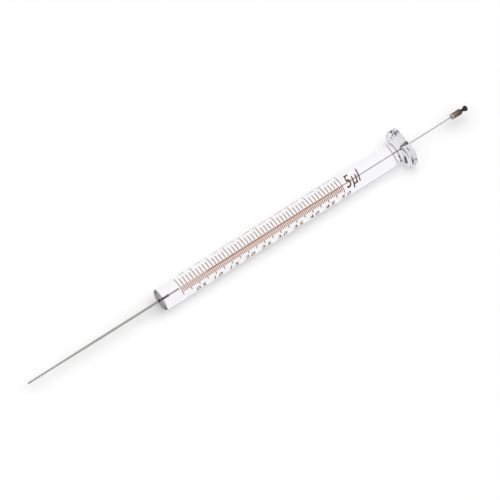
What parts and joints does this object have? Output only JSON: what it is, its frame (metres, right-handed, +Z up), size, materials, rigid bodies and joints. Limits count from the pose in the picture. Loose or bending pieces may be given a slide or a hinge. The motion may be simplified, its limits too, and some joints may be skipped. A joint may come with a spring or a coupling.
{
  "type": "microsyringe",
  "caption": "Glass microlitre syringe with a rounded nose, a cemented tapered steel needle, an anti-roll finger flange and a fine wire plunger with a turned metal button",
  "frame": {"origin": "bottom centre of the syringe's bounding box, as it lies on a level surface", "axes": "+X from the needle towards the plunger's button, within half a degree; +Z up from the surface it lies on; +Y across"},
  "size_m": [0.1476, 0.012, 0.0078],
  "materials": {
    "glass": "clear polished glass with a fired scale in brown",
    "needle_steel": "drawn stainless tube",
    "cement": "dark cured cement",
    "wire_steel": "centreless ground wire",
    "button_metal": "turned and polished dark nickel"
  },
  "bodies": {
    "barrel": {"glass_barrel": "glass", "needle": "needle_steel", "needle_cement": "cement"},
    "plunger": {"plunger_wire": "wire_steel", "plunger_button": "button_metal"}
  },
  "joints": [
    {"name": "plunger_slide", "type": "slide", "parent": "barrel", "child": "plunger", "axis": [1, 0, 0.0081], "range_m": [-0.0093, 0.04481]}
  ]
}
